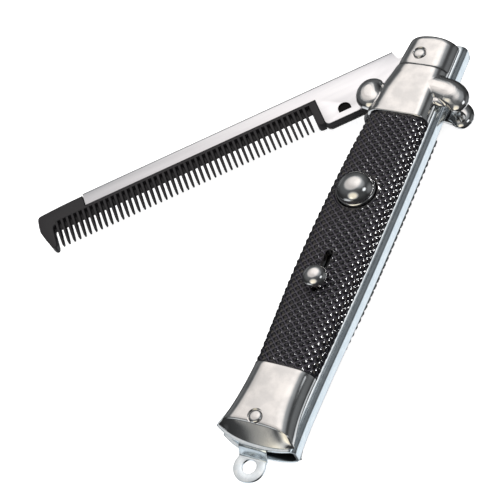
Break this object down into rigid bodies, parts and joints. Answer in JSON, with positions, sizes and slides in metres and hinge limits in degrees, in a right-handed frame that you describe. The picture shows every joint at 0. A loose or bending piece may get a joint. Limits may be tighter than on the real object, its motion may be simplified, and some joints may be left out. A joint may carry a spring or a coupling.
{
  "type": "folding comb",
  "caption": "Folding pocket comb: a toothed plastic comb in a steel cover swings out of a channel handle with knurled grips, scrolled guard, push button and slider.",
  "frame": {"origin": "on the flat crest of the rear grip, 58 mm above the lower end of the handle, where the part rests", "axes": "+Y up the handle to the pivot end, +X to the folded back of the handle, +Z to the front with the button"},
  "size_m": [0.105, 0.1291, 0.0173],
  "materials": {
    "zinc_plated_steel": "bright zinc plated sheet",
    "polished_nickel": "polished, plated casting",
    "black_grip": "glossy black with a diamond knurl",
    "brushed_steel": "satin stainless sheet",
    "black_comb_plastic": "matte moulded plastic"
  },
  "bodies": {
    "handle": {"channel": "zinc_plated_steel", "front_end_cap": "polished_nickel", "rear_end_cap": "polished_nickel", "front_bolster": "polished_nickel", "rear_bolster": "polished_nickel", "front_grip": "black_grip", "rear_grip": "black_grip", "pivot_pin": "polished_nickel", "front_end_rivet": "polished_nickel", "rear_end_rivet": "polished_nickel"},
    "comb": {"comb_plate": "brushed_steel", "comb_core": "black_comb_plastic"},
    "push_button": {"button": "polished_nickel"},
    "slider_knob": {"slider": "polished_nickel"}
  },
  "joints": [
    {"name": "comb_hinge", "type": "hinge", "parent": "handle", "child": "comb", "pos_m": [0.0004, 0.0568, 0.00675], "axis": [0, 0, -1], "range_deg": [-48.6, 131.4]},
    {"name": "button_press", "type": "slide", "parent": "handle", "child": "push_button", "axis": [0, 0, -1], "range_m": [0, 0.0009], "stiffness_N_per_m": 500},
    {"name": "slider_slide", "type": "slide", "parent": "handle", "child": "slider_knob", "axis": [0, 1, 0], "range_m": [0, 0.0074]}
  ]
}
